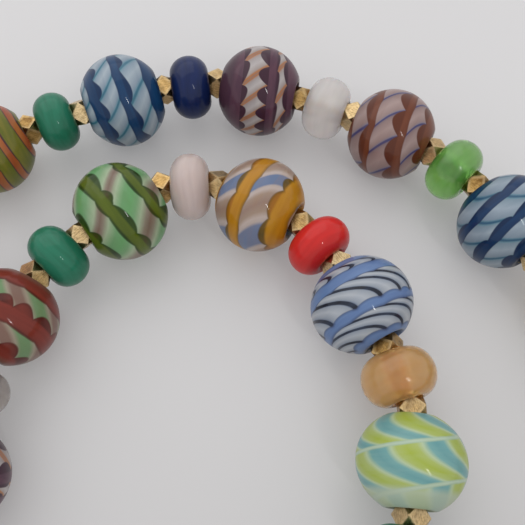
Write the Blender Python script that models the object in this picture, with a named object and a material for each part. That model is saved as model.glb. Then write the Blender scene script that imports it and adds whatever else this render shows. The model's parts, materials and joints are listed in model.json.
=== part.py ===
"""A beaded necklace, laid on a surface as one closed loop.

Large glass beads and small plain glass beads take turns on a thread, with a cut-corner brass
bead in each joint between them and one plain barrel clasp.  Metres, +Z up.  The origin is the
middle of the loop's box, on the surface that the large beads rest on.
"""
import math

import bmesh
import bpy
from mathutils import Matrix, Vector

MM = 0.001

# Large glass bead: a round bead, a little shorter than it is wide, dimpled at both ends
LARGE_DIAMETER = 14.2 * MM
LARGE_LENGTH = 12.2 * MM
LARGE_DIMPLE = 1.6 * MM
LARGE_SIDES = 12
LARGE_BAND = 2.0 * MM          # width of the flat band round the middle, which it rests on
LARGE_CURVE = (0.48, 0.77, 1.0)    # where its side bends, as shares of the way to the rim

# Small plain glass bead: a fat ring
SPACER_DIAMETER = 9.8 * MM
SPACER_LENGTH = 6.4 * MM
SPACER_DIMPLE = 1.2 * MM
SPACER_SIDES = 10
SPACER_BAND = 2.2 * MM
SPACER_CURVE = (0.6, 1.0)
SPACER_HANG = 0.25 * MM        # how far its hole hangs below the thread's height

# Brass bead: a cube with its eight corners cut off to the middles of its edges
CUBE_WIDTH = 3.2 * MM
CUBE_TURN = math.radians(33)   # how far each one is turned about the thread from the last

# Thread, and the holes that it runs through
THREAD_DIAMETER = 0.8 * MM
HOLE_DIAMETER = 2.4 * MM
RING_SIDES = 8                 # sides of the thread, and points round a brass bead

# Barrel clasp, in one piece
CLASP_DIAMETER = 5.0 * MM
CLASP_LENGTH = 10.0 * MM
CLASP_SOCKET = 2.5 * MM        # how deep the thread's end goes in
CLASP_SHOULDER = 0.9 * MM      # its ends slope in by this much
CLASP_SIDES = 12

# Room between pieces
CLEARANCE = 0.27 * MM          # between two pieces, where the string runs straight
DIMPLE_ROOM = 0.45 * MM        # round a brass bead's end, at the floor of a dimple
DIMPLE_FLARE = 0.85 * MM       # how much wider a dimple's rim is than its floor

# Where the string lies, in millimetres: one chosen point for every second joint between beads,
# beginning at the clasp.  The beads that are seen follow the photograph, and the rest of the
# loop takes the plain way round.
ROUTE = [
    (29.0, -62.5), (49.0, -61.5), (59.5, -42.5), (49.5, -16.0), (38.0, -1.5), (27.5, 14.0),
    (3.5, 26.0), (-12.5, 27.5), (-36.5, 19.0), (-53.5, 8.5), (-70.0, -4.0), (-80.5, -22.5),
    (-78.0, -42.5), (-59.5, -52.5), (-40.0, -41.5), (-37.0, -14.0), (-23.5, 3.5), (-9.5, 10.0),
    (6.5, 2.0), (19.0, -22.5), (17.0, -48.0),
]
ROUTE_STEPS = 24               # straight pieces that stand for the curve between two points
FITTING_PASSES = 12            # rounds of fitting the joints to the beads' lengths

# The beads in the order of the string, from the clasp: kind, glass, and the share of the
# driving diameter and length that this bead has
BEADS = [
    ("spacer", "amber", 1.00, 1.00), ("large", "yellow", 0.99, 1.00),
    ("spacer", "navy", 1.00, 1.00), ("large", "red", 1.00, 1.02),
    ("spacer", "poppy", 0.99, 0.98), ("large", "mint", 1.01, 1.00),
    ("spacer", "straw", 1.00, 1.02), ("large", "blue", 1.02, 1.03),
    ("spacer", "leaf", 1.02, 1.05), ("large", "brown", 0.97, 1.02),
    ("spacer", "milk", 0.99, 1.08), ("large", "plum", 0.98, 1.02),
    ("spacer", "navy", 0.99, 1.04), ("large", "blue", 1.00, 1.02),
    ("spacer", "green", 0.95, 1.05), ("large", "olive", 0.97, 1.02),
    ("spacer", "poppy", 1.00, 1.00), ("large", "brown", 1.00, 0.98),
    ("spacer", "milk", 0.99, 1.00), ("large", "sky", 1.01, 1.02),
    ("spacer", "leaf", 1.00, 1.00), ("large", "yellow", 0.98, 1.00),
    ("spacer", "amber", 1.01, 1.00), ("large", "blue", 1.01, 1.00),
    ("spacer", "navy", 1.00, 0.98), ("large", "lime", 0.99, 1.00),
    ("spacer", "rose", 1.00, 1.00), ("large", "plum", 1.00, 1.00),
    ("spacer", "smoke", 1.00, 1.00), ("large", "red", 1.00, 1.00),
    ("spacer", "green", 0.98, 1.04), ("large", "mint", 1.02, 1.01),
    ("spacer", "rose", 1.00, 0.94), ("large", "yellow", 0.98, 1.00),
    ("spacer", "poppy", 1.01, 0.97), ("large", "sky", 1.01, 1.01),
    ("spacer", "amber", 1.01, 1.05), ("large", "lime", 0.98, 0.98),
    ("spacer", "green", 1.00, 1.00), ("large", "olive", 1.00, 1.00),
    ("spacer", "milk", 1.00, 1.00),
]

# Base colour of each glass, as red, green and blue
GLASS_COLOURS = {
    "blue": (0.05, 0.14, 0.32), "plum": (0.12, 0.06, 0.10), "brown": (0.28, 0.09, 0.05),
    "olive": (0.22, 0.20, 0.04), "red": (0.35, 0.04, 0.04), "mint": (0.17, 0.38, 0.12),
    "yellow": (0.50, 0.28, 0.04), "sky": (0.18, 0.30, 0.60), "lime": (0.50, 0.62, 0.40),
    "green": (0.02, 0.16, 0.08), "navy": (0.02, 0.04, 0.18), "milk": (0.70, 0.70, 0.72),
    "leaf": (0.16, 0.38, 0.10), "rose": (0.62, 0.55, 0.55), "poppy": (0.50, 0.03, 0.03),
    "amber": (0.55, 0.28, 0.10), "smoke": (0.25, 0.23, 0.22), "straw": (0.60, 0.45, 0.20),
}
BRASS_COLOUR = (0.62, 0.42, 0.17)

# Sizes that follow from the ones above
CUBE_HALF = CUBE_WIDTH / 2
THREAD_RADIUS = THREAD_DIAMETER / 2
HOLE_RADIUS = HOLE_DIAMETER / 2
FLOOR_RADIUS = CUBE_HALF + DIMPLE_ROOM
RIM_RADIUS = FLOOR_RADIUS + DIMPLE_FLARE
LARGE_TO_FLAT = math.cos(math.pi / LARGE_SIDES)    # distance to a flat side over one to a corner
STRING_HEIGHT = LARGE_DIAMETER / 2 * LARGE_TO_FLAT

# Diameter, length, depth of the dimples and radius of the ends' rims of each kind of piece
KINDS = {
    "large": (LARGE_DIAMETER, LARGE_LENGTH, LARGE_DIMPLE, RIM_RADIUS),
    "spacer": (SPACER_DIAMETER, SPACER_LENGTH, SPACER_DIMPLE, RIM_RADIUS),
    "clasp": (CLASP_DIAMETER, CLASP_LENGTH, 0.0, CLASP_DIAMETER / 2),
}


class Bead:
    """One glass bead, or the clasp, which takes the place of a large bead."""

    def __init__(self, kind, glass=None, diameter_share=1.0, length_share=1.0):
        diameter, length, self.dimple, self.rim = KINDS[kind]
        self.kind = kind
        self.glass = glass
        self.diameter = diameter * diameter_share
        self.length = length * length_share
        self.seat = self.length - 2 * self.dimple    # from one dimple's floor to the other

    def height(self):
        """How high the middle of the hole lies."""
        if self.kind == "large":
            return self.diameter / 2 * LARGE_TO_FLAT
        if self.kind == "spacer":
            return STRING_HEIGHT - SPACER_HANG
        return STRING_HEIGHT


def smooth_loop(points):
    """A closed smooth curve through the points, as many short straight pieces."""
    line = []
    count = len(points)
    for i in range(count):
        p0, p1, p2, p3 = (points[(i + k - 1) % count] for k in range(4))
        for step in range(ROUTE_STEPS):
            t = step / ROUTE_STEPS
            bend = (2 * p0 - 5 * p1 + 4 * p2 - p3) * t * t + (3 * p1 - p0 - 3 * p2 + p3) * t ** 3
            line.append(0.5 * (2 * p1 + (p2 - p0) * t + bend))
    return line


def points_along(line, shares):
    """The points of a closed line at the given shares of its whole length, and that length."""
    reach = [0.0]
    for a, b in zip(line, line[1:] + line[:1]):
        reach.append(reach[-1] + (b - a).length)
    found = []
    k = 0
    for share in shares:
        mark = share * reach[-1]
        while reach[k + 1] < mark and k < len(line) - 1:
            k += 1
        t = (mark - reach[k]) / (reach[k + 1] - reach[k])
        found.append(line[k].lerp(line[(k + 1) % len(line)], t))
    return found, reach[-1]


def room_at_joint(before, after, half_bend):
    """Room at each side of a brass bead where the string turns by twice half_bend."""
    turning = math.sin(half_bend) + math.cos(half_bend) - 1
    for_brass = CLEARANCE + CUBE_HALF * turning
    rims = (before.rim + after.rim) * math.tan(half_bend) + CLEARANCE
    for_rims = (rims + before.dimple + after.dimple - CUBE_WIDTH) / 2
    return max(for_brass, for_rims)


def lay_out(beads):
    """Joints of the string, and the room at each, so that every bead just fits its stretch."""
    line = smooth_loop([Vector((x * MM, y * MM)) for x, y in ROUTE])
    count = len(beads)
    stretches = [bead.seat + CUBE_WIDTH for bead in beads]
    for _ in range(FITTING_PASSES):
        whole = sum(stretches)
        shares = [sum(stretches[:i]) / whole for i in range(count)]
        joints, length = points_along(line, shares)
        joints = [point * (whole / length) for point in joints]
        runs = [joints[(i + 1) % count] - joints[i] for i in range(count)]
        rooms = []
        for i in range(count):
            half_bend = runs[i - 1].angle(runs[i]) / 2
            rooms.append(room_at_joint(beads[i - 1], beads[i], half_bend))
        for i in range(count):
            wanted = beads[i].seat + CUBE_WIDTH + rooms[i] + rooms[(i + 1) % count]
            stretches[i] *= wanted / runs[i].length
    return joints, rooms


def material(name, colour, metallic, roughness):
    """A plain Principled finish, made once for each name."""
    found = bpy.data.materials.get(name)
    if found:
        return found
    made = bpy.data.materials.new(name)
    made.use_nodes = True
    shader = made.node_tree.nodes["Principled BSDF"]
    shader.inputs["Base Color"].default_value = (*colour, 1.0)
    shader.inputs["Metallic"].default_value = metallic
    shader.inputs["Roughness"].default_value = roughness
    return made


def add_object(name, bm, finish, parent):
    """Turn a bmesh into a shaded object under the parent."""
    bmesh.ops.recalc_face_normals(bm, faces=bm.faces)
    mesh = bpy.data.meshes.new(name)
    bm.to_mesh(mesh)
    bm.free()
    mesh.materials.append(finish)
    mesh.shade_smooth()
    mesh.set_sharp_from_angle(angle=math.radians(35))
    made = bpy.data.objects.new(name, mesh)
    made.parent = parent
    bpy.context.collection.objects.link(made)
    return made


def turned(profile, sides, closed=True):
    """Spin a profile of (along, radius) points about X, with a flat side at the bottom.

    An open profile leaves a round hole at each end, which is filled with a flat disc.
    """
    bm = bmesh.new()
    start = Matrix.Rotation(math.pi / sides, 3, "X")
    points = [bm.verts.new(start @ Vector((along, 0, -radius))) for along, radius in profile]
    edges = [bm.edges.new(pair) for pair in zip(points, points[1:])]
    if closed:
        edges.append(bm.edges.new((points[-1], points[0])))
    bmesh.ops.spin(bm, geom=points + edges, cent=(0, 0, 0), axis=(1, 0, 0), dvec=(0, 0, 0),
                   angle=2 * math.pi, steps=sides, use_duplicate=False)
    bmesh.ops.remove_doubles(bm, verts=bm.verts, dist=0.001 * MM)
    bmesh.ops.holes_fill(bm, edges=[edge for edge in bm.edges if edge.is_boundary], sides=sides)
    return bm


def mirrored(half):
    """A half section and its mirror image, from one end to the other."""
    return half + [(-along, radius) for along, radius in reversed(half)]


def bead_profile(bead):
    """The section of a glass bead.

    A large bead's side is an oval cut off at the dimple's rim, and a small bead's side is a
    half round that stands on the rim.
    """
    end = bead.length / 2
    radius = bead.diameter / 2
    if bead.kind == "large":
        cut = math.acos(RIM_RADIUS / radius)
        oval = end / math.sin(cut)
        half = [(LARGE_BAND / 2, radius)]
        half += [(oval * math.sin(cut * share), radius * math.cos(cut * share))
                 for share in LARGE_CURVE]
    else:
        swell = radius - RIM_RADIUS
        half = [(SPACER_BAND / 2, radius)]
        half += [(end * math.sin(angle), RIM_RADIUS + swell * math.cos(angle))
                 for angle in (share * math.pi / 2 for share in SPACER_CURVE)]
    floor = end - bead.dimple
    return mirrored(half + [(floor, FLOOR_RADIUS), (floor, HOLE_RADIUS)])


def clasp_profile():
    """The section of the barrel, from the bottom of one socket round to the other's."""
    end = CLASP_LENGTH / 2
    radius = CLASP_DIAMETER / 2
    outside = [(end - CLASP_SHOULDER, radius), (end, radius - CLASP_SHOULDER)]
    socket = [(end, HOLE_RADIUS), (end - CLASP_SOCKET, HOLE_RADIUS)]
    return list(reversed(outside + socket)) + [(-along, r) for along, r in outside + socket]


def ring(bm, centre, along, radii, turn):
    """A ring of points round the string, with a radius for each."""
    across = along.cross(Vector((0, 0, 1)))
    points = []
    for k, radius in enumerate(radii):
        angle = turn + 2 * math.pi * k / len(radii)
        up = Vector((0, 0, math.sin(angle)))
        points.append(bm.verts.new(centre + (across * math.cos(angle) + up) * radius))
    return points


def skin(bm, low, high, square_low=True):
    """Join two rings with triangles, so that the corner facets of a brass bead stay flat.

    Each seam ends on a corner of the square, which is an even point of the ring that has it.
    """
    count = len(low)
    for k in range(count):
        n = (k + 1) % count
        if (k % 2 == 0) == square_low:
            bm.faces.new((low[k], high[k], high[n]))
            bm.faces.new((low[k], high[n], low[n]))
        else:
            bm.faces.new((low[k], high[k], low[n]))
            bm.faces.new((low[n], high[k], high[n]))


def build_string(joints, rooms):
    """The thread from one socket of the clasp to the other, with the brass beads on it."""
    count = len(joints)
    runs = [(joints[(i + 1) % count] - joints[i]).normalized() for i in range(count)]
    thread = [THREAD_RADIUS] * RING_SIDES
    square = [CUBE_HALF, CUBE_HALF / math.sqrt(2)] * (RING_SIDES // 2)
    belt = [CUBE_HALF, CUBE_HALF * math.sqrt(2)] * (RING_SIDES // 2)
    reach_in = CUBE_HALF + CLASP_SOCKET - CLEARANCE

    bm = bmesh.new()
    first_end = joints[1] - runs[0] * (reach_in + rooms[1])
    last = ring(bm, first_end, runs[0], thread, CUBE_TURN)
    bm.faces.new(last)
    for step in range(1, count + 1):
        i = step % count
        along = (runs[i - 1] + runs[i]).normalized()
        turn = CUBE_TURN * step
        near = joints[i] - along * CUBE_HALF
        far = joints[i] + along * CUBE_HALF
        rings = [last, ring(bm, near, along, thread, turn), ring(bm, near, along, square, turn),
                 ring(bm, joints[i], along, belt, turn), ring(bm, far, along, square, turn),
                 ring(bm, far, along, thread, turn)]
        for low, high, square_low in zip(rings, rings[1:], (True, True, True, False, True)):
            skin(bm, low, high, square_low)
        last = rings[-1]
    second_end = joints[0] + runs[0] * (reach_in + rooms[0])
    tip = ring(bm, second_end, runs[0], thread, CUBE_TURN * count)
    skin(bm, last, tip)
    bm.faces.new(tip)
    return bm


def main():
    for old in list(bpy.data.objects):
        bpy.data.objects.remove(old)

    beads = [Bead("clasp")] + [Bead(*row) for row in BEADS]
    flat_joints, rooms = lay_out(beads)
    joints = [Vector((p.x, p.y, STRING_HEIGHT)) for p in flat_joints]

    necklace = bpy.data.objects.new("necklace", None)
    bpy.context.collection.objects.link(necklace)
    brass = material("brass", BRASS_COLOUR, 1.0, 0.35)
    made = [add_object("string", build_string(joints, rooms), brass, necklace)]

    numbers = {"large": 0, "spacer": 0}
    for i, bead in enumerate(beads):
        run = (joints[(i + 1) % len(joints)] - joints[i]).normalized()
        if bead.kind == "clasp":
            piece = add_object("clasp", turned(clasp_profile(), CLASP_SIDES, False), brass, necklace)
        else:
            numbers[bead.kind] += 1
            prefix = "glass_bead" if bead.kind == "large" else "spacer_bead"
            sides = LARGE_SIDES if bead.kind == "large" else SPACER_SIDES
            finish = material(f"{bead.glass}_glass", GLASS_COLOURS[bead.glass], 0.0, 0.12)
            name = f"{prefix}_{numbers[bead.kind]:02d}"
            piece = add_object(name, turned(bead_profile(bead), sides), finish, necklace)
        middle = joints[i] + run * (CUBE_HALF + rooms[i] + bead.seat / 2)
        piece.location = (middle.x, middle.y, bead.height())
        piece.rotation_euler = (0, 0, math.atan2(run.y, run.x))
        made.append(piece)

    bpy.context.view_layer.update()
    corners = [piece.matrix_world @ vert.co for piece in made for vert in piece.data.vertices]
    for axis in (0, 1):
        low = min(corner[axis] for corner in corners)
        high = max(corner[axis] for corner in corners)
        necklace.location[axis] = -(low + high) / 2
    around = sum((joints[i] - joints[i - 1]).length for i in range(len(joints)))
    print(f"{len(made)} pieces on a loop {around / MM:.0f} mm long")


main()
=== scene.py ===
# %% [markdown]
# # A string of lampworked glass beads
#
# This lesson dresses a plain CAD necklace.  Twenty large beads of swirled glass and twenty-one
# small plain ones take turns on a thread, with a cut-cornered brass bead in every joint.  The CAD
# says where each piece is and how big it is.  The fine surface, the glass and the brass are made
# here, and every new piece takes its place and size from the CAD piece that it stands for.

# %% Load the frame
import json
import math

import bmesh
import bpy
import numpy as np
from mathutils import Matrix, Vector


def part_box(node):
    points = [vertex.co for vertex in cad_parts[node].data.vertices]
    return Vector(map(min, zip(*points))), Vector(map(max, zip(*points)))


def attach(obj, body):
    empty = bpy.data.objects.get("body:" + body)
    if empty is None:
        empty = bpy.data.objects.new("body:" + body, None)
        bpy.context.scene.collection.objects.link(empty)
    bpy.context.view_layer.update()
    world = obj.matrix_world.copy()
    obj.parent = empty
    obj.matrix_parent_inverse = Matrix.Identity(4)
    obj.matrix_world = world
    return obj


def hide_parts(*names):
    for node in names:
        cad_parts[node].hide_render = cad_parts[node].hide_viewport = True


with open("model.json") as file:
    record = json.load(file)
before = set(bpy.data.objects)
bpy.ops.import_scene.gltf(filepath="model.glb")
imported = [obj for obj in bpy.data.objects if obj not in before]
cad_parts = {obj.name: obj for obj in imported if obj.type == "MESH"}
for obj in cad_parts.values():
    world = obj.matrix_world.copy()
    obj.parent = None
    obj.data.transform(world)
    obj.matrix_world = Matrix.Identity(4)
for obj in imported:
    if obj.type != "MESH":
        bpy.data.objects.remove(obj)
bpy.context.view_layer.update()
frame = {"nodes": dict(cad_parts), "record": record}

MM = 0.001

# %% [markdown]
# ## Where each piece lies
#
# A bead is round about its hole, so its points spread equally in every direction but one: along
# the hole.  That odd direction is found from the spread of the CAD piece's own points, so nothing
# has to be typed in again when the string is laid another way.  The pieces are then put in the
# order of the string, and each one's direction is made to point at the next.


# %% Measure the round CAD pieces
def measure(node):
    """Middle, direction of the hole, length and radius of a round CAD piece."""
    low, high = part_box(node)
    middle = (low + high) / 2
    points = np.array([v.co - middle for v in frame["nodes"][node].data.vertices])
    spread, ways = np.linalg.eigh(points.T @ points)
    odd = 2 if spread[1] - spread[0] < spread[2] - spread[1] else 0
    along = points @ ways[:, odd]
    across = np.linalg.norm(points - np.outer(along, ways[:, odd]), axis=1)
    return middle, Vector(ways[:, odd]), np.ptp(along), across.max()


numbers = range(1, 21)
on_string = [name for n in numbers for name in (f"spacer_bead_{n:02d}", f"glass_bead_{n:02d}")]
on_string = ["clasp"] + on_string + ["spacer_bead_21"]
measured = [measure(node) for node in on_string]
around = len(on_string)

laid = {}
for i, (middle, way, length, radius) in enumerate(measured):
    onward = measured[(i + 1) % around][0] - measured[i - 1][0]
    laid[on_string[i]] = (middle, way if way.dot(onward) > 0 else -way, length, radius)
print(f"{around} round pieces in order, the widest {2 * max(m[3] for m in measured) / MM:.1f} mm")

# %% [markdown]
# ## Helpers for modelling by hand
#
# In edit mode an operator works on whatever is selected.  By hand you would click; in a script
# the parts are picked by where they are.  `mark` picks vertices, edges or faces that pass a test.


# %% Select a piece, and parts of it
def only(piece):
    """Select one piece alone and make it the active one."""
    bpy.ops.object.select_all(action="DESELECT")
    piece.select_set(True)
    bpy.context.view_layer.objects.active = piece


def mark(kind, test):
    """In edit mode, select just the vertices, edges or faces that pass a test."""
    bpy.ops.mesh.select_mode(type=kind)
    bpy.ops.mesh.select_all(action="DESELECT")
    mesh = bpy.context.object.data
    shape = bmesh.from_edit_mesh(mesh)
    for part in {"VERT": shape.verts, "EDGE": shape.edges, "FACE": shape.faces}[kind]:
        if test(part):
            part.select_set(True)
    shape.select_flush_mode()
    bmesh.update_edit_mesh(mesh)


def off_axis(point):
    """Distance of a point from the hole, which runs along X while a piece is being made."""
    return math.hypot(point.y, point.z)


def middle_of(edge):
    """The point halfway along an edge."""
    return (edge.verts[0].co + edge.verts[1].co) / 2


def report(name, piece):
    """Print how many faces a piece has, and its size in mm."""
    size = [round(d / MM, 2) for d in piece.dimensions]
    print(f"{name}: {len(piece.data.polygons)} faces, {size} mm")


# %% [markdown]
# A lampworked bead is wound on a coated rod.  The hot glass draws in round the rod, and that
# leaves a dimple at each end of the hole.  Both kinds of bead get theirs the same way here: the
# open rim at each end is extruded inwards and narrowed, first to the dimple's floor and then to
# the hole, and the two holes are bridged.


# %% Sink the dimples and run the hole through
HOLE_RADIUS = 1.2 * MM


def sink_dimples(rim_radius, dimple, floor_radius):
    """In edit mode, close a bead whose two ends are open rims."""
    for side in (1, -1):
        mark("EDGE", lambda edge: edge.is_boundary and middle_of(edge).x * side > 0)
        radius = rim_radius
        halfway = (rim_radius + floor_radius) / 2
        for step, wanted in ((0.55, halfway), (0.45, floor_radius), (0.0, HOLE_RADIUS)):
            inwards = (-side * dimple * step, 0, 0)
            bpy.ops.mesh.extrude_region_move(TRANSFORM_OT_translate={"value": inwards})
            share = wanted / radius
            bpy.ops.transform.resize(value=(1, share, share), center_override=(0, 0, 0))
            radius = wanted
    mark("EDGE", lambda edge: edge.is_boundary)
    bpy.ops.mesh.bridge_edge_loops()
    mark("FACE", lambda face: True)
    bpy.ops.mesh.normals_make_consistent(inside=False)


def finish_glass(piece):
    """Round a bead off with a subdivision, and note each point's place in the bead, in mm."""
    bpy.ops.object.mode_set(mode="OBJECT")
    smooth = piece.modifiers.new("smooth", "SUBSURF")
    smooth.levels = smooth.render_levels = 1
    bpy.ops.object.modifier_apply(modifier="smooth")
    bpy.ops.object.shade_smooth()
    note_places(piece)


def note_places(piece):
    """Keep each point's own place as an attribute, which stays when the piece is laid down."""
    mesh = piece.data
    places = np.empty(len(mesh.vertices) * 3, np.float32)
    mesh.vertices.foreach_get("co", places)
    note = mesh.attributes.new("own_place", "FLOAT_VECTOR", "POINT")
    note.data.foreach_set("vector", places / MM)


# %% [markdown]
# ## The large bead
#
# It is a ball, a little shorter than it is wide.  A sphere with its poles at the hole's ends is
# squeezed along the hole, both poles are cut off flat, and the rims are softened before the
# dimples go in.

# %% Model the large bead
LARGE_RADIUS = 7.0 * MM
LARGE_END = 5.8 * MM           # half its length
LARGE_OVAL = 6.4 * MM          # half its length before its poles are cut off
LARGE_DIMPLE = 1.3 * MM        # how deep a dimple is
LARGE_FLOOR = 2.05 * MM        # radius of a dimple's floor

bpy.ops.object.select_all(action="DESELECT")
bpy.ops.mesh.primitive_uv_sphere_add(segments=48, ring_count=24, radius=LARGE_RADIUS,
                                     rotation=(0, math.pi / 2, 0))
large = bpy.context.object
large.name = "large_pattern"
large.scale = (1, 1, LARGE_OVAL / LARGE_RADIUS)
bpy.ops.object.transform_apply(location=False, rotation=True, scale=True)
bpy.ops.object.mode_set(mode="EDIT")
for side in (1, -1):
    mark("FACE", lambda face: True)
    bpy.ops.mesh.bisect(plane_co=(side * LARGE_END, 0, 0), plane_no=(side, 0, 0), clear_outer=True)
rim = LARGE_RADIUS * math.sqrt(1 - (LARGE_END / LARGE_OVAL) ** 2)
sink_dimples(rim, LARGE_DIMPLE, LARGE_FLOOR)
mark("EDGE", lambda edge: abs(abs(middle_of(edge).x) - LARGE_END) < 0.01 * MM
     and abs(edge.verts[0].co.x - edge.verts[1].co.x) < 0.01 * MM
     and abs(off_axis(edge.verts[0].co) - rim) < 0.05 * MM)
bpy.ops.mesh.bevel(offset=0.4 * MM, segments=3)
finish_glass(large)
report("large bead", large)

# %% [markdown]
# ## The small bead
#
# It is a fat ring, so it starts as a torus stretched along the hole.  The inner half of the torus
# is taken away, and the same dimples close it.

# %% Model the small bead
SMALL_RADIUS = 4.85 * MM
SMALL_END = 2.85 * MM          # half its length
SMALL_RIM = 2.1 * MM           # radius of the rim, where the torus is thickest
SMALL_DIMPLE = 0.85 * MM
SMALL_FLOOR = 1.75 * MM

bpy.ops.object.select_all(action="DESELECT")
bpy.ops.mesh.primitive_torus_add(
    major_segments=48, minor_segments=20, major_radius=SMALL_RIM,
    minor_radius=SMALL_RADIUS - SMALL_RIM, rotation=(0, math.pi / 2, 0))
small = bpy.context.object
small.name = "small_pattern"
small.scale = (1, 1, SMALL_END / (SMALL_RADIUS - SMALL_RIM))
bpy.ops.object.transform_apply(location=False, rotation=True, scale=True)
bpy.ops.object.mode_set(mode="EDIT")
mark("FACE", lambda face: off_axis(face.calc_center_median()) < SMALL_RIM)
bpy.ops.mesh.delete(type="FACE")
sink_dimples(SMALL_RIM, SMALL_DIMPLE, SMALL_FLOOR)
finish_glass(small)
report("small bead", small)

# %% [markdown]
# ## The brass bead
#
# Jewellers call it a cornerless cube: a cube with its eight corners filed off down to the middles
# of its edges.  A vertex bevel does just that.  The edges are then worn round, and the hole is
# sunk through the two faces that look along the thread.

# %% Model the brass bead
CUBE_WIDTH = 3.4 * MM

bpy.ops.object.select_all(action="DESELECT")
bpy.ops.mesh.primitive_cube_add(size=CUBE_WIDTH)
brass_bead = bpy.context.object
brass_bead.name = "brass_pattern"
bpy.ops.object.mode_set(mode="EDIT")
mark("VERT", lambda vert: True)
bpy.ops.mesh.bevel(offset=CUBE_WIDTH / 2, affect="VERTICES")
bpy.ops.mesh.select_all(action="SELECT")
bpy.ops.mesh.remove_doubles(threshold=0.02 * MM)
mark("FACE", lambda face: abs(face.normal.x) > 0.9)
bpy.ops.mesh.inset(thickness=0.45 * MM)
mark("FACE", lambda face: abs(face.normal.x) > 0.9
     and off_axis(face.calc_center_median()) < 0.05 * MM)
bpy.ops.mesh.bridge_edge_loops()
mark("EDGE", lambda edge: len(edge.link_faces) == 2
     and edge.link_faces[0].normal.angle(edge.link_faces[1].normal) > 0.3
     and min(off_axis(v.co) for v in edge.verts) > 1.2 * MM)
bpy.ops.mesh.bevel(offset=0.06 * MM, segments=2)
mark("FACE", lambda face: True)
bpy.ops.mesh.normals_make_consistent(inside=False)
bpy.ops.object.mode_set(mode="OBJECT")
report("brass bead", brass_bead)

# %% [markdown]
# ## Lay the pieces down
#
# A copy is sized, turned and moved as an object, and then all of that is applied to its mesh.  So
# the finished piece sits at the origin with its place in its points, as the CAD pieces do.


# %% Copy a pattern piece into its place
def lay(pattern, name, middle, heading, turn=0.0, size=(1, 1, 1)):
    """A copy of a pattern piece with its own mesh, its hole along the heading."""
    piece = pattern.copy()
    piece.data = pattern.data.copy()
    piece.name = piece.data.name = name
    bpy.context.collection.objects.link(piece)
    piece.scale = size
    piece.rotation_euler = (turn, 0, math.atan2(heading.y, heading.x))
    piece.location = middle
    only(piece)
    bpy.ops.object.transform_apply(location=True, rotation=True, scale=True)
    return piece


# %% [markdown]
# ## Nodes without tears
#
# Materials are node trees.  These helpers add one node at a time and join it to what comes
# before, so that a line of code reads like a line of arithmetic.


# %% Helpers for node trees
def add(tree, kind, settings=(), **values):
    """Add a node, with its settings, and join or set its inputs by name."""
    made = tree.nodes.new(kind)
    for key, value in dict(settings).items():
        setattr(made, key, value)
    for key, value in values.items():
        join(tree, value, made.inputs[key.replace("_", " ")])
    return made


def join(tree, value, socket):
    """Join a node's output to a socket, or set the socket to a plain value."""
    if isinstance(value, bpy.types.NodeSocket):
        tree.links.new(value, socket)
    else:
        socket.default_value = value


def calc(tree, operation, *values):
    """One step of arithmetic on numbers or sockets."""
    made = tree.nodes.new("ShaderNodeMath")
    made.operation = operation
    for value, socket in zip(values, made.inputs):
        join(tree, value, socket)
    return made.outputs[0]


def ramp_between(tree, value, low, high):
    """0 below low, 1 above high and smooth between them."""
    made = add(tree, "ShaderNodeMapRange", {"interpolation_type": "SMOOTHSTEP"}, Value=value)
    for key, number in (("From Min", low), ("From Max", high)):
        join(tree, number, made.inputs[key])
    return made.outputs[0]


def mixed(tree, share, first, second):
    """Two colours mixed, where share is a number or a mask."""
    made = tree.nodes.new("ShaderNodeMix")
    made.data_type = "RGBA"
    for key, value in ((0, share), (6, first), (7, second)):
        join(tree, value, made.inputs[key])
    return made.outputs[2]


def new_group(name, inputs, outputs):
    """An empty shader node group with named sockets, and its two end nodes."""
    tree = bpy.data.node_groups.new(name, "ShaderNodeTree")
    for key, kind in inputs:
        tree.interface.new_socket(key, in_out="INPUT", socket_type="NodeSocket" + kind)
    for key, kind in outputs:
        tree.interface.new_socket(key, in_out="OUTPUT", socket_type="NodeSocket" + kind)
    return tree, tree.nodes.new("NodeGroupInput").outputs, tree.nodes.new("NodeGroupOutput").inputs


# %% [markdown]
# ## A twisted cane, wound round the bead
#
# The swirls are made from a thin rod of striped glass, called a cane.  It is twisted while hot, so
# that its stripes become a screw thread, and then it is trailed round the bead in a spiral and
# pressed flat.  The first group unrolls that spiral.  `Along` is how far along the cane a point
# lies, in turns round the bead, and `Off` is how far it lies from the cane's middle line, in turns
# of the spiral.  A hand never winds evenly, so the spiral may swing about its even course.

# %% Build the winding as a node group
winding, given, out = new_group(
    "winding", [("Place", "Vector")] + [(key, "Float") for key in (
        "Start", "Pitch", "Swing", "Bend", "Swing at", "Wobble")],
    [("Along", "Float"), ("Off", "Float")])
axes = add(winding, "ShaderNodeSeparateXYZ", Vector=given["Place"]).outputs
angle = calc(winding, "DIVIDE", calc(winding, "ARCTAN2", axes[1], axes[2]), 2 * math.pi)
swung = calc(winding, "MULTIPLY", calc(winding, "SUBTRACT", angle, given["Swing at"]), 2 * math.pi)
swing = calc(winding, "MULTIPLY", calc(winding, "SINE", swung), given["Swing"])
bend = calc(winding, "SUBTRACT", 1.0, calc(winding, "COSINE", swung))
bend = calc(winding, "MULTIPLY", bend, given["Bend"])
noise = add(winding, "ShaderNodeTexNoise", Vector=given["Place"], Scale=0.3, Detail=2.0)
sway = calc(winding, "MULTIPLY", calc(winding, "SUBTRACT", noise.outputs[0], 0.5), given["Wobble"])
wound = calc(winding, "ADD", calc(winding, "DIVIDE", axes[0], given["Pitch"]), given["Start"])
wound = calc(winding, "ADD", wound, calc(winding, "ADD", angle, sway))
wound = calc(winding, "SUBTRACT", wound, calc(winding, "ADD", swing, bend))
which = calc(winding, "FLOOR", wound)
join(winding, calc(winding, "SUBTRACT", angle, which), out["Along"])
join(winding, calc(winding, "SUBTRACT", calc(winding, "SUBTRACT", wound, which), 0.5), out["Off"])
print(winding.name, "has", len(winding.nodes), "nodes")

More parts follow.
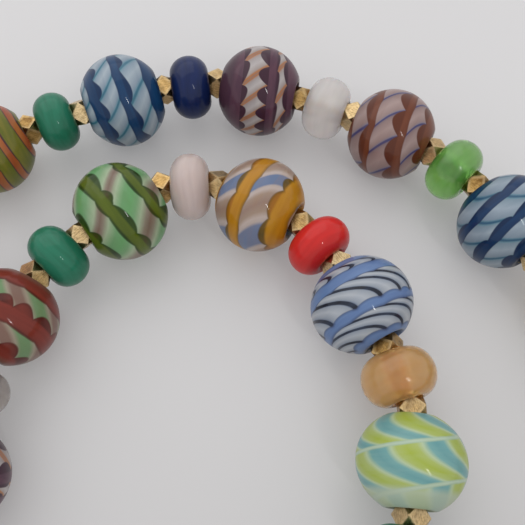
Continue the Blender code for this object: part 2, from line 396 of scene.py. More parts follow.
# %% [markdown]
# The second group draws the cane.  `Passed` counts the stripes that have gone by, so its fraction
# says where in a stripe a point lies.  The same count is taken at the cane's lower and upper edge,
# and there it makes the scallops: the clear glass between the stripes sinks in more than the
# stripes do.  `Cane` is 1 on the cane, `Hollow` is 1 where the cane's own dark glass shows in the
# scallops, and `Seam` rises towards the cane's edge, where the glass beside it is drawn darker.

# %% Build the striping as a node group
striping, given, out = new_group(
    "striping", [(key, "Float") for key in (
        "Off", "Width", "Passed", "Passed low", "Passed high", "Scallops", "Phase", "Low depth",
        "Low skew", "High depth", "High skew", "Softness", "Taper")],
    [(key, "Float") for key in ("Cane", "Stripe", "Hollow", "Seam")])
LEAST_WIDTH = 0.15             # no smaller width is ever divided by


def scallop(passed, depth, skew):
    """How far the cane's edge draws in, as a share of its width."""
    count = calc(striping, "MULTIPLY_ADD", passed, given["Scallops"], given["Phase"])
    part = calc(striping, "POWER", calc(striping, "FRACT", count), given[skew])
    rest = calc(striping, "SUBTRACT", 1.0, part)
    arch = calc(striping, "MULTIPLY", rest, calc(striping, "MULTIPLY", part, 4.0))
    return calc(striping, "SUBTRACT", 1.0, calc(striping, "MULTIPLY", arch, given[depth]))


twice = calc(striping, "MULTIPLY", given["Off"], 2.0)
low = scallop(given["Passed low"], "Low depth", "Low skew")
low = calc(striping, "MULTIPLY_ADD", low, given["Width"], twice)
high = scallop(given["Passed high"], "High depth", "High skew")
high = calc(striping, "MULTIPLY", high, given["Width"])
gap = calc(striping, "MINIMUM", low, calc(striping, "SUBTRACT", high, twice))
soft = calc(striping, "MULTIPLY", given["Softness"], -1.0)
join(striping, ramp_between(striping, gap, soft, given["Softness"]), out["Cane"])
beside = calc(striping, "SUBTRACT", 1.0, ramp_between(striping, gap, 0.0, 0.06))
seam = calc(striping, "MULTIPLY", beside, ramp_between(striping, gap, -0.2, 0.0))
join(striping, seam, out["Seam"])
outline = calc(striping, "SUBTRACT", given["Width"], calc(striping, "ABSOLUTE", twice))
join(striping, ramp_between(striping, outline, -0.10, 0.05), out["Hollow"])
across = calc(striping, "DIVIDE", twice, calc(striping, "MAXIMUM", given["Width"], LEAST_WIDTH))
stripe = calc(striping, "FRACT", given["Passed"])
wave = calc(striping, "SINE", calc(striping, "MULTIPLY", stripe, 2 * math.pi))
pull = calc(striping, "MULTIPLY", given["Taper"], across)
pull = calc(striping, "MULTIPLY", pull, 1 / (2 * math.pi))
join(striping, calc(striping, "MULTIPLY_ADD", wave, pull, stripe), out["Stripe"])
print(striping.name, "has", len(striping.nodes), "nodes")

# %% [markdown]
# Hot glass flows round the rod as the bead is wound, so any unevenness is drawn out into streaks
# that run round the hole.  This group stretches a noise the same way.

# %% Build the streaks as a node group
streaks, given, out = new_group("wound_streaks", [("Place", "Vector"), ("Fineness", "Float")],
                                [("Streak", "Float"), ("Ripple", "Float")])
stretched = add(streaks, "ShaderNodeMapping", Vector=given["Place"], Scale=(1.0, 0.16, 0.16))
streak = add(streaks, "ShaderNodeTexNoise", Vector=stretched.outputs[0], Scale=given["Fineness"],
             Detail=4.0, Distortion=0.6)
join(streaks, ramp_between(streaks, streak.outputs[0], 0.3, 0.7), out["Streak"])
ripple = add(streaks, "ShaderNodeTexNoise", Vector=given["Place"], Scale=0.22, Detail=1.0)
join(streaks, ripple.outputs[0], out["Ripple"])


# %% [markdown]
# ## The swirled glass
#
# Every large bead is finished in clear glass over the colours.  So the colours go in the base
# colour, and a clear coat with almost no roughness lies over them.  A ripple that is hardly there
# bends the reflections a little, as on anything shaped by hand.


# %% Helpers for glass
def colour(hex_code):
    """A colour as a painter would write it, in hex, turned to the linear light Blender uses."""
    parts = [int(hex_code[k:k + 2], 16) / 255 for k in (0, 2, 4)]
    return (*[((c + 0.055) / 1.055) ** 2.4 if c > 0.04045 else c / 12.92 for c in parts], 1.0)


def start_glass(name, fineness):
    """A glass material with its streaks ready: the tree, its shader, the place and the streaks."""
    made = bpy.data.materials.new(name)
    made.use_nodes = True
    tree = made.node_tree
    shader = tree.nodes["Principled BSDF"]
    place = add(tree, "ShaderNodeAttribute", {"attribute_name": "own_place"}).outputs["Vector"]
    flow = add(tree, "ShaderNodeGroup", {"node_tree": streaks}, Place=place, Fineness=fineness)
    ripple = flow.outputs["Ripple"]
    bump = add(tree, "ShaderNodeBump", Strength=0.25, Distance=0.15 * MM, Height=ripple)
    join(tree, bump.outputs[0], shader.inputs["Normal"])
    for key, value in (("Roughness", 0.4), ("Specular IOR Level", 0.1), ("Coat Weight", 0.4),
                       ("Coat Roughness", 0.05), ("IOR", 1.45)):
        shader.inputs[key].default_value = value
    return made, tree, shader, place, flow.outputs["Streak"]


def coloured(tree, value, stops):
    """A colour ramp with a stop for each (place, hex colour)."""
    ramp = add(tree, "ShaderNodeValToRGB", Fac=value)
    while len(ramp.color_ramp.elements) < len(stops):
        ramp.color_ramp.elements.new(0.5)
    for element, (where, tone) in zip(ramp.color_ramp.elements, stops):
        element.position, element.color = where, colour(tone)
    return ramp.outputs[0]


def read_off(name, points):
    """A node group that reads a value off straight lines between points, as from a graph."""
    first, last = points[0][0], points[-1][0]
    least = min(y for _, y in points)
    most = max(y for _, y in points + [(0, least + 0.001)])
    tree, given, out = new_group(name, [("Along", "Float")], [("Value", "Float")])
    place = add(tree, "ShaderNodeMapRange", Value=given["Along"])
    place.inputs["From Min"].default_value, place.inputs["From Max"].default_value = first, last
    graph = add(tree, "ShaderNodeFloatCurve", Value=place.outputs[0])
    line = graph.mapping.curves[0]
    while len(line.points) < len(points):
        line.points.new(0.5, 0.5)
    for point, (x, y) in zip(line.points, points):
        point.location = ((x - first) / (last - first), (y - least) / (most - least))
        point.handle_type = "VECTOR"
    graph.mapping.update()
    join(tree, calc(tree, "MULTIPLY_ADD", graph.outputs[0], most - least, least), out["Value"])
    return tree


def value_at(tree, graph, along):
    """What a graph made by read_off says at a place along the cane."""
    return add(tree, "ShaderNodeGroup", {"node_tree": graph}, Along=along).outputs[0]


# %% [markdown]
# One function puts the groups together.  The stripes lean as they cross the cane, because they
# were wound round a round rod, so the place along the cane is moved by `lean` before the stripes
# are counted.


# %% Put a swirled glass together
FAR = (-2.7, 3.7)              # turns along the cane, well past both ends of any bead
WOBBLE = 0.05                  # how far the hand strays from an even spiral, in turns


def swirled_glass(name, wind, widths, passed, lean, stops, hollow, ground, low=(0, 1), high=(0, 1),
                  scallops=(1, 0), softness=0.03, taper=0.0, ends=None):
    """Glass with a twisted cane wound into it; see the table below for what the values mean."""
    made, tree, shader, place, streak = start_glass(name, 0.9)
    laid_out = add(tree, "ShaderNodeGroup", {"node_tree": winding}, Place=place, Wobble=WOBBLE)
    for key, value in zip(("Start", "Pitch", "Swing", "Bend", "Swing at"), wind):
        laid_out.inputs[key].default_value = value
    along, off = laid_out.outputs["Along"], laid_out.outputs["Off"]
    widths = [(FAR[0], widths[0][1]), *widths, (FAR[1], widths[-1][1])]
    passed = [(degrees / 360, count) for degrees, count in passed]
    width = value_at(tree, read_off(name + "_width", widths), along)
    rate = (passed[-1][1] - passed[0][1]) / (passed[-1][0] - passed[0][0])
    passed = [(FAR[0], passed[0][1] - rate * (passed[0][0] - FAR[0])), *passed,
              (FAR[1], passed[-1][1] + rate * (FAR[1] - passed[-1][0]))]
    count = read_off(name + "_count", passed)
    slant = calc(tree, "MULTIPLY_ADD", along, lean[1], lean[0])
    across = calc(tree, "MULTIPLY", off, 2.0)
    across = calc(tree, "DIVIDE", across, calc(tree, "MAXIMUM", width, LEAST_WIDTH))

    def counted(q):
        """The stripes gone by at a place across the cane, from -1 to 1."""
        moved = calc(tree, "MULTIPLY", q, calc(tree, "MULTIPLY_ADD", q, lean[2], slant))
        return value_at(tree, count, calc(tree, "SUBTRACT", along, moved))

    def part_of(mask, most):
        """A mask made weaker, so that it reaches only this far."""
        return calc(tree, "MULTIPLY", mask, most)

    swirl = add(tree, "ShaderNodeGroup", {"node_tree": striping}, Off=off, Width=width,
                Passed=counted(across), Passed_low=counted(-1.0), Passed_high=counted(1.0),
                Scallops=scallops[0], Phase=scallops[1], Low_depth=low[0], Low_skew=low[1],
                High_depth=high[0], High_skew=high[1], Softness=softness, Taper=taper)
    stripe = swirl.outputs["Stripe"]
    under = mixed(tree, streak, colour(ground[0]), colour(ground[1]))
    dark = coloured(tree, stripe, hollow)
    under = mixed(tree, part_of(swirl.outputs["Hollow"], 0.9), under, dark)
    over = mixed(tree, part_of(streak, 0.12), coloured(tree, stripe, stops), colour(ground[0]))
    painted = mixed(tree, swirl.outputs["Cane"], under, over)
    painted = mixed(tree, part_of(swirl.outputs["Seam"], 0.5), painted, colour(hollow[0][1]))
    # On the two blue beads the darker ends are partly their ground glass and partly painted shade
    # near the holes.
    if ends:
        begins, full, tone, most, onward_only = ends
        reach = add(tree, "ShaderNodeSeparateXYZ", Vector=place).outputs["X"]
        if not onward_only:
            reach = calc(tree, "ABSOLUTE", reach)
        share = part_of(ramp_between(tree, reach, begins, full), most)
        painted = mixed(tree, share, painted, colour(tone))
    join(tree, painted, shader.inputs["Base Color"])
    return made


# %% [markdown]
# Where the cane runs on a bead was read from the photo.  A reading is an angle round the
# bead, and where the cane's two edges lie along the hole there, as shares of `READ_TO`.  The
# spiral that runs nearest to the middles between the edges is then found by least squares.  Two
# weak extra rows keep the swing and the bend small where the readings say little about them.

# %% Find the spiral that runs through the readings
READ_TO = 6.0                  # mm from the bead's middle to where a reading says 1
STEADY = (0.03, 0.09)          # how much the swing and the bend are held back
FIRM = 100                     # how much a pitch that is given counts


def spiral_through(facing, seen, pitch=None):
    """The winding nearest to the readings of each turn, on the side that faces this angle."""
    rows, middles = [[0, 0, STEADY[0], 0], [0, 0, 0, STEADY[1]]], [0, 0]
    for turn, readings in seen.items():
        for degrees, upper, lower in readings:
            swung = math.radians(degrees - facing)
            rows.append([turn + 0.5 - degrees / 360, -1, math.sin(swung), 1 - math.cos(swung)])
            middles.append((upper + lower) / 2 * READ_TO)
    if pitch:
        rows.append([FIRM, 0, 0, 0])
        middles.append(FIRM * pitch)
    found = np.linalg.lstsq(np.array(rows), np.array(middles), rcond=None)[0]
    between = float(found[0])
    start, swing, bend = (float(part) / between for part in found[1:])
    return start, between, swing, bend, facing / 360


# %% [markdown]
# The kinds of swirled bead differ in their colours, in how the cane was wound, and in how it was
# twisted.  Each row says:
#
# - `wind`: start, distance between turns in mm, swing, bend, and where on the bead it swings;
# - `widths`: the cane's width as a share of that distance, at places along it, in turns;
# - `passed`: the stripes gone by at places along the cane, in degrees, also read from the photo;
# - `lean`: how far the stripes lean, how the lean changes along the cane, and how it curves;
# - `stops`, `hollow` and `ground`: colours across a stripe, in the scallops, and of the bead;
# - `low` and `high`: the depth and skew of the scallops; `scallops`: how many to a stripe;
# - `softness` and `taper`: how soft the cane's edge is, and how its stripes narrow across it;
# - `ends`: the bead turns to another colour between two places, in mm from its middle; then come
#   the colour, how much of it, and whether it is only at the end that points onward.  On the two
#   blue beads the dark ends are partly their ground glass and partly painted shade near the holes.

# %% Give the swirled glasses their values
SWIRLS = {
    "blue": dict(
        wind=spiral_through(39, {
            0: [(90, 0.44, -0.03), (60, 0.5, 0.03), (30, 0.54, 0.08), (0, 0.54, 0.11),
                (-20, 0.53, 0.13)],
            -1: [(90, -0.24, -0.66), (50, -0.15, -0.64), (10, -0.13, -0.62), (-20, -0.12, -0.6)]}),
        widths=[(-1, 0.62), (0, 0.68), (1, 0.7), (2, 0.5)],
        passed=[(-14, -3), (18.5, -2), (48.7, -1), (80.8, 0), (112, 1), (344.5, 8), (390.8, 9),
                (429.5, 10), (468, 11)],
        lean=(0.033, 0.006, -0.005),
        stops=[(0, "3a6a7d"), (0.06, "3a6a7d"), (0.12, "6d8c9a"), (0.2, "8192a0"),
               (0.5, "9ca8b1"), (0.85, "8492a0"), (0.94, "6b8b9a"), (1, "3a6a7d")],
        hollow=[(0, "0e2a4d"), (1, "0e2a4d")],
        ground=("153d64", "123459"),
        # dark ends: partly ground glass, partly painted shade near the holes
        low=(-0.12, 1), high=(0.55, 1.6), ends=(5, 5.8, "0e2946", 0.8, False)),
    "blue_twin": dict(
        wind=spiral_through(32, {
            0: [(80, 0.7, 0.3), (60, 0.69, 0.34), (30, 0.71, 0.39), (0, 0.77, 0.45),
                (-20, 0.8, 0.6)],
            -1: [(85, 0.08, -0.29), (60, 0.12, -0.29), (30, 0.19, -0.24), (10, 0.27, -0.15)],
            -2: [(70, -0.49, -0.8), (33, -0.42, -0.8)]}),
        widths=[(0, 0.6), (1, 0.72), (2, 0.66)],
        passed=[(-22, -1), (33, 0), (88, 1), (360, 7), (402.5, 8), (440, 9), (758, 16),
                (798, 17)],
        lean=(0.042, 0, -0.01),
        stops=[(0, "2e556e"), (0.05, "2e556e"), (0.1, "608190"), (0.16, "758895"),
               (0.5, "929fab"), (0.9, "788795"), (0.95, "5b7c8c"), (1, "2e556e")],
        hollow=[(0, "092345"), (1, "092345")],
        ground=("0f335a", "0b2c51"),
        # dark ends: partly ground glass, partly painted shade near the holes
        low=(0.45, 0.66), high=(-0.12, 1), ends=(5, 5.8, "09213f", 0.8, False)),
    "brown": dict(
        wind=spiral_through(35, {
            0: [(80, 0.8, 0.36), (50, 0.88, 0.5), (30, 0.9, 0.54), (0, 0.92, 0.6)],
            -1: [(75, 0.12, -0.43), (60, 0.2, -0.43), (30, 0.3, -0.33), (0, 0.39, -0.18),
                 (-30, 0.42, -0.06)],
            -2: [(25, -0.4, -0.72), (0, -0.3, -0.72), (-15, -0.3, -0.7)]}),
        widths=[(0, 0.6), (0.5, 0.7), (0.8, 0.9), (1.3, 0.88), (1.7, 0.6), (2.3, 0.55)],
        passed=[(-10, -1), (48, 0), (105, 1), (333, 6), (373.4, 7), (406.5, 8), (450, 9),
                (685, 14), (726.8, 15), (770, 16)],
        lean=(0.046, 0, 0.01),
        stops=[(0, "3b3c66"), (0.05, "3b3c66"), (0.1, "7b696d"), (0.2, "897472"),
               (0.55, "9d8884"), (0.9, "8c7774"), (0.96, "7b727f"), (1, "3b3c66")],
        hollow=[(0, "572b1b"), (1, "572b1b")],
        ground=("6c3b27", "633320"),
        low=(0.75, 1), high=(-0.12, 1)),
    "plum": dict(
        wind=spiral_through(37, {
            0: [(80, 0.3, -0.4), (50, 0.3, -0.39), (30, 0.31, -0.35), (0, 0.38, -0.26),
                (-25, 0.42, -0.12)],
            -1: [(80, -0.58, -0.78), (50, -0.57, -0.77), (15, -0.48, -0.74),
                 (-10, -0.48, -0.66)]}),
        widths=[(-0.45, -0.3), (-0.3, 0.8), (-0.1, 1), (0.5, 1), (0.75, 0.4), (1.2, 0.42),
                (1.6, 0.2)],
        passed=[(-17, -2), (17.5, -1), (43, 0), (68, 1), (90, 2), (112, 3), (348, 10),
                (393, 11), (440, 12)],
        lean=(0.042, 0, 0),
        stops=[(0, "886b5f"), (0.02, "886b5f"), (0.05, "a06b45"), (0.1, "a06b45"),
               (0.17, "988985"), (0.3, "9d9695"), (0.55, "ada6a5"), (0.82, "9a8f8a"),
               (0.9, "a06b45"), (0.96, "a06b45"), (1, "886b5f")],
        hollow=[(0, "371d2c"), (1, "371d2c")],
        ground=("593947", "4a2e3e"),
        low=(0.74, 1), high=(0.5, 0.5), ends=(2.6, 4.4, "3c2631", 0.7, True)),
    "mint": dict(
        wind=spiral_through(-30, {
            0: [(25, 0.33, -0.27), (0, 0.38, -0.26), (-30, 0.47, -0.12), (-60, 0.61, 0),
                (-85, 0.66, 0.1)],
            -1: [(15, -0.47, -0.82), (-15, -0.42, -0.84), (-45, -0.35, -0.87),
                 (-70, -0.32, -0.8)]}),
        widths=[(0, 0.76), (1, 0.62)],
        passed=[(-80, -0.75), (-62, -0.5), (-45, -0.25), (-27.5, 0), (-2, 0.25), (8, 0.5),
                (17, 0.75), (42, 1), (290, 4), (317, 4.25), (330.3, 4.5), (342, 4.75),
                (377.6, 5)],
        lean=(0.042, 0, 0),
        stops=[(0, "639862"), (0.12, "679465"), (0.25, "99a98b"), (0.38, "83786a"),
               (0.5, "745f54"), (0.62, "83786a"), (0.75, "99a98b"), (0.88, "6f986c"),
               (1, "639862")],
        hollow=[(0, "173106"), (0.25, "31480f"), (0.5, "3e3516"), (0.75, "31480f"),
                (1, "173106")],
        ground=("4b5a14", "546218"),
        low=(0.42, 1), high=(0.2, 1), scallops=(2, 0.5), softness=0.05),
    "yellow": dict(
        wind=spiral_through(-25, {
            0: [(35, 0.57, 0.02), (5, 0.49, -0.1), (-30, 0.5, -0.03), (-60, 0.57, 0.07),
                (-80, 0.6, 0.1)],
            -1: [(10, -0.38, -0.74), (-25, -0.4, -0.84), (-60, -0.37, -0.81),
                 (-78, -0.3, -0.76)]}),
        widths=[(-0.75, 0.36), (-0.4, 0.68), (0, 0.68), (1, 0.56)],
        passed=[(-95, -1.25), (-70, -1), (-45, -0.75), (-23, -0.5), (-1, -0.25), (13, 0),
                (27, 0.25), (265, 3), (284, 3.25), (305.5, 3.5), (327, 3.75), (344.5, 4),
                (362, 4.25)],
        lean=(0.04, 0.003, -0.015),
        stops=[(0, "617291"), (0.16, "617291"), (0.21, "aca09c"), (0.27, "b2a49f"),
               (0.36, "968376"), (0.5, "8c756b"), (0.64, "968376"), (0.73, "b2a49f"),
               (0.79, "aca09c"), (0.85, "617291"), (1, "617291")],
        hollow=[(0, "483b10"), (0.22, "6b4d12"), (0.35, "925b11"), (0.65, "925b11"),
                (0.78, "6b4d12"), (1, "483b10")],
        ground=("a67113", "b27d1c"),
        low=(-0.1, 1), high=(0.42, 1), scallops=(2, 0.5), softness=0.04),
    "sky": dict(
        wind=spiral_through(-17, {
            0: [(45, 0.93, 0.57), (0, 0.88, 0.5), (-40, 0.78, 0.44), (-70, 0.76, 0.44)],
            -1: [(30, 0.24, -0.34), (0, 0.25, -0.34), (-30, 0.28, -0.29), (-60, 0.3, -0.27)],
            -2: [(0, -0.57, -0.73), (-40, -0.58, -0.72)]}),
        widths=[(-1, 0.6), (0, 0.6), (0.5, 0.7), (0.8, 0.86), (1.3, 0.86), (1.7, 0.3),
                (2.3, 0.25)],
        passed=[(-80, -2), (-30, -1), (11.5, 0), (53, 1), (287.5, 8), (324.3, 9), (355.5, 10),
                (384.4, 11), (406, 12)],
        lean=(0.105, -0.045, -0.03),
        stops=[(0, "1a1c26"), (0.1, "1a1c26"), (0.14, "757d8c"), (0.21, "8c929b"),
               (0.5, "a6aab0"), (0.84, "8c929b"), (0.875, "757d8c"), (0.915, "1a1c26"),
               (1, "1a1c26")],
        hollow=[(0, "2c3350"), (0.2, "637ca5"), (0.8, "637ca5"), (1, "2c3350")],
        ground=("637ca5", "5a729d"),
        low=(-0.12, 1), high=(0.2, 1), taper=0.3),
    "lime": dict(
        wind=spiral_through(-12, {
            0: [(60, 0.29, -0.5), (20, 0.46, -0.33), (0, 0.54, -0.25), (-38, 0.64, -0.14),
                (-57, 0.74, -0.07)]}, pitch=5.16),
        widths=[(0, 0.92), (1, 0.92)],
        passed=[(-380, -1), (-320, 0), (-62, 4.5), (-30, 5), (0, 5.5), (29.7, 6), (60, 6.5),
                (315, 11), (348, 11.5), (380, 12)],
        lean=(0.082, 0, 0.036),
        stops=[(0, "5f9295"), (0.15, "699a9a"), (0.25, "a8b994"), (0.33, "9fad5d"),
               (0.5, "99a840"), (0.67, "9fad5d"), (0.76, "a8b994"), (0.86, "699a9a"),
               (1, "5f9295")],
        hollow=[(0, "98ae96"), (1, "98ae96")],
        ground=("b1c1ac", "bac8b4"),
        ends=(3.1, 4.1, "a9b5a1", 0.8, True)),
    "red": dict(
        wind=spiral_through(-27, {
            0: [(-5, 0.5, 0.13), (-25, 0.6, 0.1), (-50, 0.62, 0.14), (-80, 0.47, 0.12)],
            -1: [(-25, -0.2, -0.6), (-46, -0.29, -0.7), (-75, -0.31, -0.72),
                 (-95, -0.38, -0.75)]}),
        widths=[(-0.7, 0.3), (0, 0.62), (1, 0.54)],
        passed=[(-88, -0.5), (-74, -0.25), (-54, 0), (-38, 0.25), (-25, 0.5), (-12, 0.75),
                (-3, 1), (265, 4.7), (290, 5), (308, 5.25), (327, 5.5)],
        lean=(0.04, 0.022, 0),
        stops=[(0, "66865d"), (0.12, "66865d"), (0.25, "928977"), (0.38, "7a6156"),
               (0.62, "7a6156"), (0.75, "928977"), (0.88, "66865d"), (1, "66865d")],
        hollow=[(0, "451810"), (0.5, "6d2a20"), (1, "451810")],
        ground=("6d2a20", "792f25"),
        low=(0.85, 1), high=(0.15, 1), scallops=(2, 0.5), softness=0.05,
        ends=(4.7, 5.6, "7d6052", 0.6, False)),
    "olive": dict(
        wind=(0.184, 2.9, 0, 0, 0), widths=[(-0.2, -0.2), (0, 0.45), (1, 0.35)],
        passed=[(0, 0), (360, 4)], lean=(0.05, 0, 0),
        stops=[(0, "9a5428"), (0.3, "a86234"), (0.7, "96442a"), (1, "9a5428")],
        hollow=[(0, "3a2230"), (0.5, "4a2a30"), (1, "3a2230")], ground=("77702a", "5f6420"),
        low=(0.4, 1), high=(0.1, 1)),
}
glasses = {kind: swirled_glass(f"{kind}_glass", **row) for kind, row in SWIRLS.items()}
print(len(glasses), "swirled glasses")

# %% [markdown]
# ## The plain glass
#
# Some of the small beads are opaque, and some let light in.  For those the shader carries light
# under the surface, which is what makes milky glass glow, or lets part of it straight through.


# %% Give the plain glasses their values
def plain_glass(name, tones, milky, clear):
    """Glass of one colour with faint streaks, milky from 0 to 1 and clear from 0 to 1."""
    made, tree, shader, _, streak = start_glass(name, 0.7)
    tone = mixed(tree, streak, colour(tones[0]), colour(tones[1]))
    join(tree, tone, shader.inputs["Base Color"])
    shader.inputs["Subsurface Weight"].default_value = milky
    shader.inputs["Subsurface Scale"].default_value = 2.5 * MM
    shader.inputs["Subsurface Radius"].default_value = (1.0, 0.8, 0.6)
    shader.inputs["Transmission Weight"].default_value = clear
    if clear:
        shader.inputs["Roughness"].default_value = 0.2
    return made


PLAIN = {
    "green": (("27745a", "1f644b"), 0.0, 0.0), "navy": (("112353", "0c1b42"), 0.0, 0.0),
    "milk": (("ebe6e3", "e2dddb"), 1.0, 0.6), "leaf": (("90cb6c", "80bc60"), 0.8, 0.75),
    "rose": (("d9c8c4", "cebdb8"), 0.8, 0.3), "poppy": (("cb2825", "bb2422"), 0.1, 0.0),
    "amber": (("ecc081", "e6b573"), 0.8, 0.75), "smoke": (("b5aca6", "a39a95"), 0.6, 0.6),
    "straw": (("e4c88a", "dcbc7c"), 0.6, 0.7),
}
for kind, (tones, milky, clear) in PLAIN.items():
    glasses[kind] = plain_glass(f"{kind}_glass", tones, milky, clear)
print(len(glasses), "glasses in all")

# %% [markdown]
# ## Place the glass beads
#
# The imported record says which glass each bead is.  The rims are drawn in a little from where the
# plain CAD shape ends, by `DRAWN_IN`.  No two beads made by hand have the same size, so `TRIM`
# makes some of them a little shorter or longer, and narrower or wider.  `TWINS` names a bead that
# was wound otherwise than the rest of its glass.

# %% Lay down the glass beads
TWINS = {"glass_bead_04": "blue_twin"}
DRAWN_IN = {large: 0.3 * MM, small: 0.35 * MM}
HALF_LENGTH = {large: LARGE_END, small: SMALL_END}
USUAL_RADIUS = {large: 7.1 * MM, small: 4.9 * MM}    # of the CAD beads, over their corners
TRIM = {
    "glass_bead_04": (0.97, 1.0), "glass_bead_16": (1.02, 1.0), "glass_bead_18": (1.01, 1.0),
    "spacer_bead_05": (1.0, 0.97), "spacer_bead_06": (1.03, 1.0), "spacer_bead_07": (1.03, 1.02),
    "spacer_bead_08": (0.95, 0.98), "spacer_bead_17": (1.07, 1.02), "spacer_bead_18": (1.03, 0.98),
    "spacer_bead_19": (1.13, 1.03),
}
glass_of = {row["node"]: row["material_slot"].removesuffix("_glass")
            for row in frame["record"]["subparts"]}

for node, (middle, heading, length, radius) in laid.items():
    if node == "clasp":
        continue
    pattern = large if node.startswith("glass") else small
    longer, wider = TRIM.get(node, (1.0, 1.0))
    along = longer * length / 2 / (HALF_LENGTH[pattern] + DRAWN_IN[pattern])
    across = wider * radius / USUAL_RADIUS[pattern]
    piece = lay(pattern, node + "_glass", middle, heading, 0.0, (along, across, across))
    piece.data.materials.append(glasses[TWINS.get(node, glass_of[node])])
    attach(piece, "root")
    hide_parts(node)

# %% [markdown]
# ## Brass
#
# Raw brass has been filed and then worn.  The file leaves fine scratches, and the brass tarnishes
# in clouds.  On a cornerless cube a point is near an edge when it is close both to the plane of a
# square facet and to the plane of a corner facet, and there wear polishes the brass bright.

# %% Build the brass finish
brass_group, given, out = new_group(
    "filed_metal", [("Place", "Vector"), ("Half width", "Float")],
    [("Tarnish", "Float"), ("Scratches", "Float"), ("Edge", "Float")])
drawn = add(brass_group, "ShaderNodeMapping", Vector=given["Place"], Scale=(1.2, 5.0, 5.0),
            Rotation=(0.5, 0.3, 0.2))
scratch = add(brass_group, "ShaderNodeTexNoise", Vector=drawn.outputs[0], Scale=1.5, Detail=6.0,
              Roughness=0.75)
join(brass_group, scratch.outputs[0], out["Scratches"])
cloud = add(brass_group, "ShaderNodeTexNoise", Vector=given["Place"], Scale=0.9, Detail=4.0,
            Roughness=0.6)
join(brass_group, ramp_between(brass_group, cloud.outputs[0], 0.4, 0.7), out["Tarnish"])
axes = add(brass_group, "ShaderNodeSeparateXYZ", Vector=given["Place"]).outputs
sizes = [calc(brass_group, "ABSOLUTE", axis) for axis in axes]
widest = calc(brass_group, "MAXIMUM", calc(brass_group, "MAXIMUM", sizes[0], sizes[1]), sizes[2])
total = calc(brass_group, "ADD", calc(brass_group, "ADD", sizes[0], sizes[1]), sizes[2])
from_square = calc(brass_group, "SUBTRACT", given["Half width"], widest)
less_total = calc(brass_group, "MULTIPLY", total, -1.0)
from_corner = calc(brass_group, "MULTIPLY_ADD", given["Half width"], 2.0, less_total)
inland = calc(brass_group, "MULTIPLY_ADD", from_corner, 0.577, from_square)
worn_edge = calc(brass_group, "SUBTRACT", 1.0, ramp_between(brass_group, inland, 0.12, 0.4))
join(brass_group, worn_edge, out["Edge"])


RUBBED = "f3dcae"              # brass that is rubbed bright
NO_EDGES = 9.0                 # a half width past the size of any piece, so that no edge is near


def brass_finish(name, bright, dull, roughness, half_width):
    """Filed brass.  The half width, in mm, says where a cube's facets meet and are rubbed."""
    made = bpy.data.materials.new(name)
    made.use_nodes = True
    tree = made.node_tree
    shader = tree.nodes["Principled BSDF"]
    place = add(tree, "ShaderNodeAttribute", {"attribute_name": "own_place"}).outputs["Vector"]
    worn = add(tree, "ShaderNodeGroup", {"node_tree": brass_group}, Place=place,
               Half_width=half_width)
    scratches = worn.outputs["Scratches"]
    polish = add(tree, "ShaderNodeAttribute", {"attribute_name": "polish"}).outputs["Fac"]
    tone = mixed(tree, worn.outputs["Tarnish"], colour(bright), colour(dull))
    tone = mixed(tree, calc(tree, "MULTIPLY", polish, 0.8), tone, colour(RUBBED))
    grain = calc(tree, "MULTIPLY", ramp_between(tree, scratches, 0.4, 0.65), 0.75)
    tone = mixed(tree, grain, tone, colour(dull))
    tone = mixed(tree, calc(tree, "MULTIPLY", worn.outputs["Edge"], 0.25), tone, colour(RUBBED))
    join(tree, tone, shader.inputs["Base Color"])
    rough = calc(tree, "MULTIPLY_ADD", scratches, 0.25, roughness)
    join(tree, rough, shader.inputs["Roughness"])
    bump = add(tree, "ShaderNodeBump", Strength=0.6, Distance=0.06 * MM, Height=scratches)
    join(tree, bump.outputs[0], shader.inputs["Normal"])
    shader.inputs["Metallic"].default_value = 1.0
    return made


brass = brass_finish("raw_brass", "c9a262", "7d5c32", 0.2, CUBE_WIDTH / 2 / MM)
wire_brass = brass_finish("wire_brass", "b99562", "8a6a40", 0.3, NO_EDGES)
clasp_brass = brass_finish("clasp_brass", "d8b070", "a27a48", 0.16, NO_EDGES)

# %% [markdown]
# ## String the brass beads
#
# A joint lies where the holes of two neighbours would meet.  The floors of their dimples face
# each other across it, and the brass bead sits between them, turned a little further about the
# thread than the last one.  Each copy gets its own small dents, since they are cut by hand, and
# its own polish: some are rubbed bright and some are still dull.

# %% Lay down the brass beads
DIMPLES = {"glass": LARGE_DIMPLE + DRAWN_IN[large], "spacer": SMALL_DIMPLE + DRAWN_IN[small],
           "clasp": 0.0}
CUBE_TURN = math.radians(33)   # how far each one is turned about the thread from the last
DENTS = 0.06 * MM
POLISH = (0.2, 0.9, 0.0, 0.4, 0.7, 0.1, 0.5)


def joint_between(before, after):
    """The place of a joint, and the direction of the thread there."""
    ends = []
    for node, way in ((before, 1), (after, -1)):
        middle, heading, length, _ = laid[node]
        dimple = DIMPLES[node.split("_")[0]]
        flat = Vector((middle.x, middle.y, STRING_HEIGHT))
        ends.append(flat + heading * (way * (length / 2 - dimple)))
    first, second = laid[before][1], laid[after][1]
    half_bend = first.angle(second) / 2
    reach = (ends[1] - ends[0]).length / 4 / math.cos(half_bend)
    return (ends[0] + ends[1]) / 2 + (first - second) * reach, (first + second).normalized()


